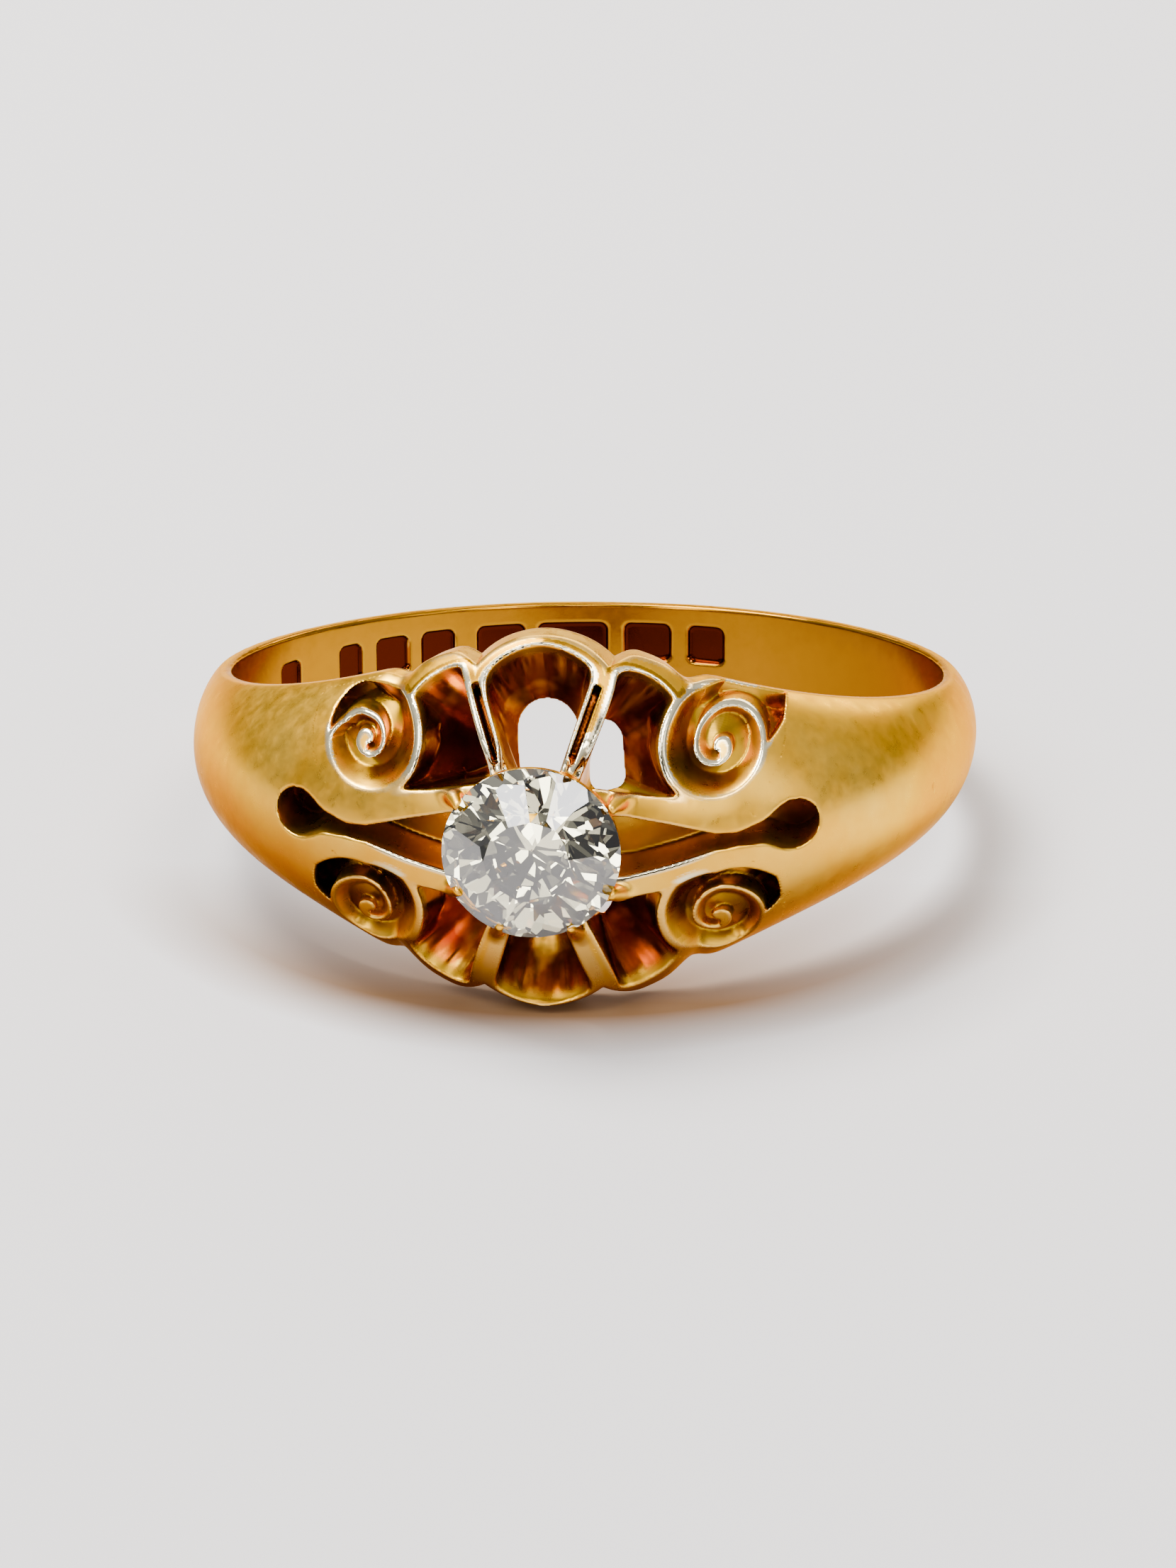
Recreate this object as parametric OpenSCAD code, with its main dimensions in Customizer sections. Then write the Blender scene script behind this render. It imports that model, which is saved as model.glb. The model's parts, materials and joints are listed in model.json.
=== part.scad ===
// Carved scroll-claw solitaire ring: one round stone held by eight claws that
// are the ridges left between eight carved hollows. Units are millimetres.
// Ring axes: finger axis along Z, stone towards -Y, before rest_pose() leans it.

/* [Finger hole and hoop] */
// Radius of the finger hole
bore_r = 8.8; // [7.5:0.1:11]
// Half the hoop's width at the back, opposite the stone
back_half = 0.98; // [0.7:0.02:2]
// Outer radius of the hoop at the back
back_r = 9.62; // [9:0.02:13]
// Thickness of the hoop's flat edge at the back
back_edge = 0.3; // [0.1:0.05:0.6]
// Number of blank punch marks sunk inside the hoop
punch_n = 8; // [0:1:8]

/* [Head and shoulders] */
// Reach of the head's top lobe along the finger axis
head_half = 4.5; // [3:0.05:6]
// Reach of the worn bottom lobe, on which the ring lies
foot_half = 4.25; // [3:0.05:6]
// Radius of the head's crown line from the finger axis
crown_r = 11.5; // [10.5:0.05:14]
// Radial depth of the head's rim at the lobes
head_edge = 0.8; // [0.4:0.05:1.6]
// Angle from the stone at which the shoulders start
shoulder_from = 20.5; // [18:0.5:26]
// Angle from the stone at which the shoulders meet the hoop
shoulder_to = 58; // [45:1:75]

/* [Stone] */
// Girdle radius of the round stone
stone_r = 2.05; // [1.5:0.05:3]
// Distance of the girdle plane from the finger axis
girdle_y = 11.5; // [10.8:0.05:13]
// Height of the crown above the girdle
stone_crown = 0.68; // [0.3:0.02:1.2]
// Depth of the pavilion below the girdle
stone_pavilion = 1.78; // [1:0.02:2.6]
// Radius of the small table facet
table_r = 0.95; // [0.5:0.05:1.6]

/* [Scrolls and slots] */
// Distance of each scroll's centre from the middle plane
scroll_x = 4.05; // [3.4:0.05:5]
// Height of each scroll's centre above the stone's centre
scroll_z = 2.05; // [1.6:0.05:2.6]
// Outer radius of a scroll
scroll_r = 1.14; // [0.7:0.02:1.5]
// Radius of the round end of a side slot
slot_r = 0.56; // [0.3:0.02:0.9]
// Distance of the slot's round end from the middle plane
slot_x = 5.72; // [4.8:0.02:6.5]
// Lift of the slot's round end above the stone's centre
slot_lift = 0.18; // [0:0.02:0.5]

/* [Rest] */
// Lean of the ring when it lies on its side on a flat top
rest_tilt = 10.3; // [0:0.05:20]

/* [Hidden] */
$fn = 48;
eps = 0.01;
gold = [0.85, 0.62, 0.30];
clear = [0.93, 0.94, 0.92];
seat_wall = 0.2;
lobe_extra = [[0, 0.12], [9, 0.4], [14, 0.38], [20, 0.15], [24, 0], [180, 0]];
rib_half = 0.27;
rib_dir = 69;
floor_r = bore_r + 0.65;
culet_y = girdle_y - stone_pavilion;
tip_y = girdle_y + 0.32;
scroll_y = crown_r - 1.4;
slant = atan2(scroll_x, scroll_y);

// half width, crown radius and edge thickness of the band at angle t from the stone
function fold(t) = t > 180 ? 360 - t : abs(t);
function half_w(t) = back_half + (head_half - back_half) * exp(-pow(fold(t) / 49, 1.25))
  + lookup(fold(t), lobe_extra);
function outer_r(t) = back_r + (crown_r - back_r) * exp(-pow(fold(t) / 58, 3.2));
function edge_t(t) = back_edge + (head_edge - back_edge) * exp(-pow(fold(t) / 27, 3));
function um(v) = round(v * 1000) / 1000;
function on_ring(t, r, z) = [um(r * sin(t)), um(-r * cos(t)), um(z)];

// one closed D section of the band, starting and ending inside the finger hole
function d_section(t, m) = concat(
  [on_ring(t, bore_r - 0.5, -half_w(t))],
  [for (i = [0:m]) let (u = 180 * i / m)
    on_ring(t,
      bore_r + edge_t(t) + (outer_r(t) - bore_r - edge_t(t)) * pow(sin(u), 1.6),
      -half_w(t) * cos(u))],
  [on_ring(t, bore_r - 0.5, half_w(t))]
);

// solid band from angle a to angle b in n steps
module band(a, b, n, m = 14) {
  k = m + 3;
  pts = [for (i = [0:n]) each d_section(a + (b - a) * i / n, m)];
  sides = [for (i = [0:n - 1], j = [0:k - 1]) let (q = (j + 1) % k)
    each [[i * k + j, i * k + q, (i + 1) * k + q],
      [i * k + j, (i + 1) * k + q, (i + 1) * k + j]]];
  cap_a = [[for (j = [k - 1:-1:0]) j]];
  cap_b = [[for (j = [0:k - 1]) n * k + j]];
  polyhedron(points = pts, faces = concat(sides, cap_a, cap_b), convexity = 4);
}

module bore(extra = 0) {
  cylinder(h = 4 * head_half, r = bore_r + extra, center = true, $fn = 128);
}

// prism through the head along Y from a flat outline drawn in X and Z
module through(depth = 20) {
  rotate([90, 0, 0]) linear_extrude(height = depth) children();
}

// lobed rim outline of the head, drawn in X and Z
module lobe_outline() {
  for (s = [-1, 1]) {
    translate([0, s * ((s > 0 ? head_half : foot_half) - 2.08)]) circle(r = 2.08);
    for (q = [-1, 1]) translate([q * 2.1, s * 2.58]) circle(r = 1.47);
  }
  square([7.4, 6.2], center = true);
}

// floor that the petal hollows leave over the finger, rising to the rim
module hollow_floor() {
  cylinder(h = 2 * 2.7, r = bore_r + 0.5, center = true, $fn = 128);
  for (k = [0, 1]) mirror([0, 0, k]) translate([0, 0, 2.7 - eps])
    cylinder(h = 1.8, r1 = bore_r + 0.5, r2 = bore_r + 1.7, $fn = 128);
}

// arched outline of a middle petal's hollow, drawn in X and Z
module middle_outline() {
  translate([0, 3.04]) circle(r = 1.25);
  polygon([[-0.58, 1.5], [0.58, 1.5], [1.2, 3.2], [-1.2, 3.2]]);
}

// outline of a corner petal's hollow between its rib, scroll and arm
module corner_outline() {
  difference() {
    union() {
      translate([2.2, 2.98]) circle(r = 0.9);
      polygon([[0.96, 1.9], [1.3, 1.2], [2.9, 1.16], [3.1, 2], [3.06, 3.2], [1.42, 3.3]]);
    }
    translate([scroll_x, scroll_z]) circle(r = scroll_r + 0.16);
  }
}

// hollow of a middle petal, moved in by drop where the lobe is worn short
module top_hollow(drop) {
  difference() {
    through() translate([0, -drop]) middle_outline();
    hollow_floor();
  }
  through() translate([0, 1.95]) circle(r = 0.72);
}

module corner_hollow() {
  difference() {
    through() corner_outline();
    hollow_floor();
  }
  through() translate([1.55, 1.62]) circle(r = 0.6);
}

// keyhole outline of a side slot, drawn in X and Z
module slot_outline() {
  polygon([[1.2, -0.62], [2.2, -0.6], [4.2, -0.19], [slot_x - 0.2, slot_lift - 0.51],
    [slot_x - 0.2, slot_lift + 0.51], [4.2, 0.21], [2.2, 0.6], [1.2, 0.62]]);
  translate([slot_x, slot_lift]) circle(r = slot_r);
}

module side_slot() {
  difference() {
    through() slot_outline();
    cylinder(h = 4, r = floor_r, center = true, $fn = 128);
  }
}

// round pocket in which a scroll stands
module scroll_pocket() {
  at_scroll() translate([0.1, 0, -1.05]) cylinder(h = 4, r = scroll_r + 0.12);
}

// local frame of the upper right scroll, Z pointing out of the shoulder
module at_scroll() {
  translate([scroll_x, -scroll_y, scroll_z])
    rotate([90, 0, 0]) rotate([-10, slant, 0]) children();
}

// cone of space under the stone, open to the finger
module culet_well() {
  translate([0, -(bore_r - 0.3), 0]) rotate([90, 0, 0])
    cylinder(h = girdle_y - bore_r + 0.3, r1 = 0.95, r2 = stone_r - seat_wall);
  translate([0, -girdle_y + 0.08, 0]) rotate([90, 0, 0]) cylinder(h = 3, r = stone_r);
}

// the head before it is divided into petals and claws
module head_blank() {
  difference() {
    intersection() {
      band(-shoulder_from, shoulder_from, 8);
      through() lobe_outline();
    }
    bore();
    culet_well();
    for (m = [0, 1], k = [0, 1]) mirror([m, 0, 0]) mirror([0, 0, k]) {
      corner_hollow();
      scroll_pocket();
    }
    for (k = [0, 1]) mirror([0, 0, k]) top_hollow(k * (head_half - foot_half));
    for (m = [0, 1]) mirror([m, 0, 0]) side_slot();
  }
}

// wedge in the upper right quarter between two directions from the stone
module sector(a, b, from_r = 1.6) {
  through() difference() {
    polygon([[0, 0], 9 * [cos(a), sin(a)], 9 * [cos((a + b) / 2), sin((a + b) / 2)],
      9 * [cos(b), sin(b)]]);
    circle(r = from_r);
  }
}

// straight strip along the rib direction of the upper right quarter
module rib_strip() {
  through() rotate(rib_dir) translate([1.6, -rib_half]) square([6, 2 * rib_half]);
}

module quarter(m, k) {
  mirror([m, 0, 0]) mirror([0, 0, k]) children();
}

module rib_body() {
  intersection() {
    head_blank();
    rib_strip();
  }
  claw_tip(66, 0.24);
}

// rounded claw end that folds over the girdle
module claw_tip(dir, r) {
  p = [(stone_r - 0.02) * cos(dir), 0, (stone_r - 0.02) * sin(dir)];
  difference() {
    union() {
      translate([p[0], -tip_y + 0.12, p[2]]) sphere(r = r, $fn = 24);
      translate([p[0], -tip_y + 0.12, p[2]]) rotate([-90, 0, 0]) cylinder(h = 0.8, r = r, $fn = 24);
    }
    stone_shape();
  }
}

module petal_side() {
  difference() {
    intersection() {
      head_blank();
      sector(25, 90, 2.75);
      through() translate([0.3, 1.9]) square([8, 8]);
    }
    through() rotate(rib_dir) translate([0, -rib_half]) square([9, 9]);
  }
}

module petal_middle(k) {
  difference() {
    intersection() {
      head_blank();
      mirror([0, 0, k]) sector(45, 135, 2.75);
    }
    for (m = [0, 1]) quarter(m, k)
      through() rotate(rib_dir) translate([0, -9 + rib_half]) square([9, 9]);
  }
}

// spiral ribbon outline, wound inwards from its outer end
function spiral_r(a) = scroll_r * (1 - 0.8 * a / 600);
function spiral_pt(a, r) = r * [cos(a - 100), sin(a - 100)];
module spiral_ribbon() {
  wall = 0.17;
  polygon(concat(
    [for (a = [0:20:600]) spiral_pt(a, spiral_r(a))],
    [for (a = [600:-20:0]) spiral_pt(a, spiral_r(a) - wall)]
  ));
}

// arm that runs from the stone along the slot into the scroll
module claw_arm() {
  difference() {
    intersection() {
      band(0, 32, 9);
      through() polygon([[1.55, 0.62], [2.2, 0.6], [4.2, 0.2], [4.9, 0.5], [4.75, 0.95],
        [4.2, 1.04], [3.4, 1.04], [2.5, 1.12], [1.5, 1.36]]);
    }
    cylinder(h = 9, r = floor_r, center = true, $fn = 128);
    culet_well();
  }
}

module scroll_body() {
  claw_arm();
  claw_tip(30, 0.26);
  difference() {
    at_scroll() {
      translate([0, 0, -1.2]) cylinder(h = 0.75, r = scroll_r);
      translate([0, 0, -0.5]) linear_extrude(height = 0.62) spiral_ribbon();
      translate([0, 0, -0.5]) cylinder(h = 0.5, r1 = 0.3, r2 = 0.16, $fn = 24);
    }
    bore(0.05);
    through() square([2 * scroll_x + 4, 1.04], center = true);
  }
}

module shoulder_body() {
  difference() {
    band(shoulder_from, shoulder_to, 9);
    bore();
    for (k = [0, 1]) mirror([0, 0, k]) scroll_pocket();
    side_slot();
    for (k = [0, 1]) mirror([0, 0, k]) claw_arm();
  }
}

module punch(angle, size) {
  rotate([0, 0, 180 + angle]) rotate([90, 0, 0]) linear_extrude(height = 20) {
    square([size[0], size[1] - 0.3], center = true);
    square([size[0] - 0.3, size[1]], center = true);
    for (i = [-1, 1], j = [-1, 1])
      translate([i * (size[0] / 2 - 0.15), j * (size[1] / 2 - 0.15)]) circle(r = 0.15, $fn = 16);
  }
}

module stone_shape() {
  rotate([90, 0, 0]) translate([0, 0, culet_y]) {
    cylinder(h = stone_pavilion, r1 = 0.16, r2 = stone_r);
    translate([0, 0, stone_pavilion - eps]) cylinder(h = 0.1 + eps, r = stone_r);
    translate([0, 0, stone_pavilion + 0.1 - eps])
      cylinder(h = stone_crown + eps, r1 = stone_r, r2 = table_r);
  }
}

// lays the ring down on its side, as it rests on a flat top
module rest_pose() {
  rotate([-rest_tilt, 0, 0]) children();
}

// hoop of the ring, a D section that narrows to the back
module shank() {
  marks = [[66, 0.85], [50.5, 0.75], [41.5, 1], [32.5, 0.95], [21, 1.3], [8.5, 1.85],
    [-4.5, 1.25], [-15, 1]];
  color(gold) rest_pose() difference() {
    band(shoulder_to, 360 - shoulder_to, 48);
    bore();
    intersection() {
      bore(0.12);
      for (i = [0:1:punch_n - 1]) punch(marks[i][0], [marks[i][1], 1.0]);
    }
  }
}

// widening shoulders that carry the slots and the scroll pockets
module shoulder_right() {
  color(gold) rest_pose() shoulder_body();
}

module shoulder_left() {
  color(gold) rest_pose() mirror([1, 0, 0]) shoulder_body();
}

// fluted petals between the claws
module petal_top() {
  color(gold) rest_pose() petal_middle(0);
}

module petal_bottom() {
  color(gold) rest_pose() petal_middle(1);
}

module petal_upper_right() {
  color(gold) rest_pose() quarter(0, 0) petal_side();
}

module petal_upper_left() {
  color(gold) rest_pose() quarter(1, 0) petal_side();
}

module petal_lower_right() {
  color(gold) rest_pose() quarter(0, 1) petal_side();
}

module petal_lower_left() {
  color(gold) rest_pose() quarter(1, 1) petal_side();
}

// rib claws beside the top and bottom petals
module rib_upper_right() {
  color(gold) rest_pose() quarter(0, 0) rib_body();
}

module rib_upper_left() {
  color(gold) rest_pose() quarter(1, 0) rib_body();
}

module rib_lower_right() {
  color(gold) rest_pose() quarter(0, 1) rib_body();
}

module rib_lower_left() {
  color(gold) rest_pose() quarter(1, 1) rib_body();
}

// scroll claws beside the side slots
module scroll_upper_right() {
  color(gold) rest_pose() quarter(0, 0) scroll_body();
}

module scroll_upper_left() {
  color(gold) rest_pose() quarter(1, 0) scroll_body();
}

module scroll_lower_right() {
  color(gold) rest_pose() quarter(0, 1) scroll_body();
}

module scroll_lower_left() {
  color(gold) rest_pose() quarter(1, 1) scroll_body();
}

// bearing that the girdle sits on
module seat_ring() {
  color(gold) rest_pose() difference() {
    translate([0, -(girdle_y - 0.5), 0]) rotate([90, 0, 0])
      cylinder(h = 0.44, r1 = stone_r - 0.25, r2 = stone_r - 0.04);
    stone_shape();
    translate([0, -(girdle_y - 0.6), 0]) rotate([90, 0, 0])
      cylinder(h = 0.64, r1 = stone_r - 0.62, r2 = stone_r - 0.2);
  }
}

// round old-cut stone with a small flat culet
module stone() {
  color(clear) rest_pose() stone_shape();
}

shank();
shoulder_right();
shoulder_left();
petal_top();
petal_bottom();
petal_upper_right();
petal_upper_left();
petal_lower_right();
petal_lower_left();
rib_upper_right();
rib_upper_left();
rib_lower_right();
rib_lower_left();
scroll_upper_right();
scroll_upper_left();
scroll_lower_right();
scroll_lower_left();
seat_ring();
stone();
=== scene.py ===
"""Looks of the carved scroll-claw solitaire ring.

The gold is meshed from one scalar field, measured in ring millimetres, so that
neighbouring pieces share their edge points and no seam shows between them.
Ring millimetres: finger axis along Z, stone towards -Y, before the ring is laid down.
"""

import json
import math
from types import SimpleNamespace

import bmesh
import bpy
import numpy as np
from mathutils import Matrix, Vector


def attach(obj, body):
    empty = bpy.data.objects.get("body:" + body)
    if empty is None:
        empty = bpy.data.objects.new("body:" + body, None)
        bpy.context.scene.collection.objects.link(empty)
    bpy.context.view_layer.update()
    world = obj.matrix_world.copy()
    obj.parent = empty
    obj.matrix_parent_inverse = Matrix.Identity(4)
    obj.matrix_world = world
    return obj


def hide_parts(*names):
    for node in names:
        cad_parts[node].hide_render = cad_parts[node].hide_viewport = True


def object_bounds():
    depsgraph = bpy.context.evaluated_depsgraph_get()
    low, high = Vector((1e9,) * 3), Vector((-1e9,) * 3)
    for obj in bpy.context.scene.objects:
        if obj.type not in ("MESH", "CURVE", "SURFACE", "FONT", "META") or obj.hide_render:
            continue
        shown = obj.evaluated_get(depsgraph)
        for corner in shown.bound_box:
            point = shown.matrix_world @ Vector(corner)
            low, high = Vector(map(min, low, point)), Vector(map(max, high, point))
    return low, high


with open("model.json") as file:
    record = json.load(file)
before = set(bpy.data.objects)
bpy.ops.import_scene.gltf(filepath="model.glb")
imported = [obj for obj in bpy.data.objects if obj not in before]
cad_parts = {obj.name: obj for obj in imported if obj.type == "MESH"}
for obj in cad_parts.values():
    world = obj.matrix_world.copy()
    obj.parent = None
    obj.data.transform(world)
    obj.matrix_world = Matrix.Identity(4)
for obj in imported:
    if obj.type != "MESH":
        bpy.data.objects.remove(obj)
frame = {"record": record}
cad_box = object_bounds()

MM = 0.001
BORE = frame["record"]["mounts"][0]
RI = BORE["dims"]["r_mm"]
LEAN = math.atan2(BORE["axis"][1], BORE["axis"][2])
# the head props the ring's front up
LAY = Matrix.Rotation(-LEAN, 4, "X")

# driving sizes of the ring, in millimetres and degrees
# hoop: half width, outer radius and thickness of the thin edge, at the back and at the head
BACK_HALF, BACK_R, BACK_EDGE = 0.98, 9.62, 0.3
HEAD_HALF, CROWN_R, HEAD_EDGE = 4.5, 11.5, 0.8
# angle and power with which width, crown and edge fall off away from the stone
WIDTH_FALL, CROWN_FALL, EDGE_FALL = (49, 1.25), (58, 3.2), (27, 3)
# head: fullness of the middle, dip beside the lobes and its width in degrees, and how short
# the bottom lobe is worn
LOBE_FULL, LOBE_DIP, DIP_WIDE, WORN = 0.12, 0.22, 2.5, 0.25
# angles from the stone where the head and the shoulders end, where the carving has ended and
# where the marked back begins
HEAD_END, SHOULDER_END, CARVED_TO, BACK_FROM = 20.5, 58.0, 48.0, 90.0
# the stone sits a little to the left of the middle and below it, and is slightly flattened
STONE_R, GIRDLE_Y = 2.04, 11.5
STONE_SHIFT, STONE_SQUASH = (-0.1, -0.12), 0.97
# middle of a scroll, by the upper and the lower ones
SCROLL_X, SCROLL_Z, SCROLL_LOW = 4.05, 2.05, 1.95
# round outer end of a side slot: place, radius and height above the ring's middle
SLOT_X, SLOT_R, SLOT_LIFT = 5.72, 0.56, 0.18
# middle line of a rib, from its claw to the rim; the upper left rib has its own
RIB_LOW, RIB_HIGH = (0.76, 1.9), (1.5, 4.05)
LEFT_LOW, LEFT_HIGH = (0.9, 1.9), (1.74, 4.05)
RIB_HALF = 0.27
# lobe circles: height and radius of the middle one; place, height and radius of a side one
LOBE_TOP, LOBE_SIDE = (2.42, 2.08), (2.25, 2.62, 1.41)
# width of the rim between a hollow and the head's outline
RIM = 0.08
# power of the band's domed section
DOME = 1.25
# length of the hollows' walls, from the finger hole to the crown
WALL = 2.7
# blank marks inside the back: angle from the middle of the back, and width; then their half
# height, corner radius and depth
PUNCHES = [(66, 0.85), (50.5, 0.75), (41.5, 1.0), (32.5, 0.95), (21, 1.3), (8.5, 1.85),
           (-4.5, 1.25), (-15, 1.0)]
PUNCH_HALF, PUNCH_CORNER, PUNCH_DEEP = 0.5, 0.2, 0.11

# ---------------------------------------------------------------- camera first
VIEW_AZ, VIEW_EL, VIEW_DIST = math.radians(5.93), math.radians(14.33), 120.0
AIM_DROP, VIEW_ROLL, SENSOR, LENS = 1.536, math.radians(-0.2), 36.0, 110.6


def make_camera():
    """The photo's view: from the front, a little from the right and from above."""
    back = Vector((math.sin(VIEW_AZ) * math.cos(VIEW_EL),
                   -math.cos(VIEW_AZ) * math.cos(VIEW_EL), math.sin(VIEW_EL)))
    side = Vector((math.cos(VIEW_AZ), math.sin(VIEW_AZ), 0.0))
    up = back.cross(side)
    eye = back * VIEW_DIST
    aim = up * -AIM_DROP
    look = (aim - eye).normalized()
    side = look.cross(Vector((0, 0, 1))).normalized()
    up = side.cross(look)
    turn = Matrix((side, up, -look)).transposed().to_4x4()
    turn = turn @ Matrix.Rotation(VIEW_ROLL, 4, "Z")
    data = bpy.data.cameras.new("camera")
    data.sensor_fit = "VERTICAL"
    data.sensor_height = SENSOR
    data.lens = LENS
    data.clip_start, data.clip_end = 0.001, 10.0
    cam = bpy.data.objects.new("camera", data)
    cam.matrix_world = Matrix.Translation((LAY @ eye) * MM) @ LAY @ turn
    bpy.context.scene.collection.objects.link(cam)
    bpy.context.scene.camera = cam


make_camera()


# ------------------------------------------------------------- field functions
def fall(t, back, head, how):
    """Value that falls from the head's to the back's, t degrees from the stone."""
    angle, power = how
    return back + (head - back) * np.exp(-(t / angle) ** power)


def half_w(t):
    """Half width of the band, with the dip where the head meets the shoulder."""
    wide = fall(t, BACK_HALF, HEAD_HALF, WIDTH_FALL)
    full = LOBE_FULL * (1 - np.clip(t / HEAD_END, 0, 1) ** 4)
    return wide + full - LOBE_DIP * np.exp(-((t - HEAD_END) / DIP_WIDE) ** 2)


def outer_r(t):
    """Radius of the crown of the band."""
    return fall(t, BACK_R, CROWN_R, CROWN_FALL)


def edge_t(t):
    """Thickness of the band's thin edge."""
    return fall(t, BACK_EDGE, HEAD_EDGE, EDGE_FALL)


def smax(a, b, k):
    """Greater of two fields, with their meeting rounded over k."""
    h = np.clip(k - np.abs(a - b), 0, None)
    return np.maximum(a, b) + h * h / (4 * k)


def smin(a, b, k):
    """Lesser of two fields, with their meeting rounded over k."""
    return -smax(-a, -b, k)


def ramp(v, a, b):
    """0 at a and beyond it, 1 at b and beyond it, and smooth between them."""
    u = np.clip((v - a) / (b - a), 0, 1)
    return u * u * (3 - 2 * u)


def capsule(p, a, b, ra, rb):
    """Distance from a rod with round ends, from a to b, that tapers from ra to rb."""
    a, b = np.array(a, np.float32), np.array(b, np.float32)
    d = b - a
    s = sum((p[i] - a[i]) * d[i] for i in range(3)) / float(d @ d)
    s = np.clip(s, 0, 1)
    return np.sqrt(sum((p[i] - a[i] - s * d[i]) ** 2 for i in range(3))) - (ra + (rb - ra) * s)


def off_line(x, z, a, b):
    """Signed distance from the line a to b and how far along it, in the X Z plane."""
    dx, dz = b[0] - a[0], b[1] - a[1]
    n = math.hypot(dx, dz)
    dx, dz = dx / n, dz / n
    return (x - a[0]) * dz - (z - a[1]) * dx, ((x - a[0]) * dx + (z - a[1]) * dz) / n


def rib_line(x, z, right):
    """Distance from the rib's middle line and how far up it; the upper left rib leans out."""
    plain = off_line(x, np.abs(z), RIB_LOW, RIB_HIGH)
    left = off_line(x, z, LEFT_LOW, LEFT_HIGH)
    at_left = ~right & (z > 0)
    return [np.where(at_left, b, a) for a, b in zip(plain, left)]


def band_field(t, r, z):
    """The plain hoop with its shoulders and head, before any carving."""
    e, a, w = edge_t(t), outer_r(t) - RI - edge_t(t), half_w(t)
    q = np.maximum(r - RI - e, 1e-3) / a
    dome = q ** DOME + (z / w) ** 2
    slope = np.sqrt((DOME * q ** (DOME - 1) / a) ** 2 + (2 * z / w ** 2) ** 2) + 1e-6
    side = np.abs(z) - w
    return np.where(r > RI + e, np.maximum((dome - 1) / slope, side), side)


# spiral ridge of a scroll: turn angle from straight down by the outer side, and radius;
# the upper left scroll ends in a hook and has its own
RIDGE_A = [0, 95, 180, 245, 340, 450, 540, 720]
RIDGE_R = [1.08, 0.96, 0.81, 0.58, 0.37, 0.22, 0.15, 0.05]
HOOK_A = [0, 82, 112, 180, 245, 340, 450, 540, 720]
HOOK_R = [1.08, 0.99, 0.68, 0.5, 0.44, 0.35, 0.22, 0.15, 0.05]
# outer limit of the carving round a scroll; the hooked one leaves its outer side plain
LIMIT_A = [0, 82, 102, 125, 150, 180, 205, 225, 280, 360]
LIMIT_R = [1.08, 0.99, 1.42, 1.6, 1.45, 1.25, 1.3, 1.36, 1.2, 1.08]
BARE_R = [1.08, 1.0, 1.02, 1.02, 1.04, 1.1, 1.22, 1.34, 1.2, 1.08]
# depth of the valley along the spiral, and half width of its ridge
VALLEY_A = [80, 100, 130, 180, 250, 360, 450, 560]
VALLEY_DEEP = [0.25, 0.65, 0.78, 0.68, 0.6, 0.52, 0.45, 0.25]
RIDGE_HALF = 0.05
# hollows: each value at the finger hole, and how much it grows to the crown
MIDDLE_Z, MIDDLE_R = (2.08, 2.6), (0.68, 1.2)
# corner hollows: end by the stone and end by the rim; the upper right one is wide
NEAR_X, NEAR_X_WIDE, NEAR_Z, NEAR_Z_WIDE, NEAR_R = (0.95, 1.6), (1.4, 0.9), 1.3, 1.0, (0.45, 1.0)
FAR_X, FAR_X_WIDE, FAR_Z, FAR_R = (1.15, 3.0), (1.4, 2.4), (1.95, 3.1), (0.45, 0.8)
# graver's strokes: how deep, and how many and how they are shifted in each kind of hollow
GOUGE, MIDDLE_GOUGES, CORNER_GOUGES = 0.024, (3, 0.4), (2.4, 1.3)
# angles from the stone between which there are scrolls, and up to which there are hollows
SCROLL_SPAN, HOLLOW_TO = (13, 36), 24
# inner edge of a scroll's arm: distance from the ring's middle, and height
ARM_X, ARM_Z = [1.4, 2.5, 3.4], [1.36, 1.17, 1.08]
# half height of a side slot at its distances from the middle
SLOT_AT = [1.0, 2.0, 3.0, 4.0, 4.5, 5.3, 6.4]
SLOT_HALF = [0.74, 0.7, 0.47, 0.19, 0.15, 0.3, 0.32]
# claws: direction from the stone's side, in degrees, and radius
CLAWS = [(66, 0.12), (30, 0.16)]
CLAW_FOOT_Y = 10.9
# well under the stone: distance from the axis of the finger hole, and radius
WELL_Y, WELL_R = [8.4, GIRDLE_Y - 0.35, GIRDLE_Y, 13.0], [0.95, 1.72, 1.98, 1.98]


def scroll_polar(x, z):
    """Turn angle and radius about the scroll on x > 0; lower scrolls are not flipped."""
    dx, dz = x - SCROLL_X, z - np.where(z > 0, SCROLL_Z, -SCROLL_LOW)
    return np.degrees(np.arctan2(dx, -dz)) % 360, np.hypot(dx, dz)


def grid_block(turn, r, z):
    """Coordinates over a block of the grid: turn in degrees from the stone, r and z in mm."""
    rad = np.radians(turn)
    g = SimpleNamespace(turn=turn, r=r, z=z, az=np.abs(z), right=np.sin(rad) >= 0)
    g.t = np.minimum(np.abs(turn), 360 - np.abs(turn))
    g.x, g.y = np.abs(r * np.sin(rad)), -r * np.cos(rad)
    # 0 at the finger hole and 1 at the crown
    g.out = (-g.y - RI) / WALL
    # the bottom lobe is worn short
    g.mid = g.az + np.where(z < 0, WORN, 0) * ramp(g.az, 1.6, 2.8)
    g.rib, g.climb = rib_line(g.x, z, g.right)
    g.phi, g.rho = scroll_polar(g.x, z)
    return g


def crown_depth(g):
    """Rough depth below the crown of the band; 0 on the crown, negative inside."""
    e, w = edge_t(g.t), half_w(g.t)
    top = RI + e + (outer_r(g.t) - RI - e) * np.clip(1 - (g.z / w) ** 2, 0, 1) ** 0.8
    return (g.r - top) * 0.88


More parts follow.
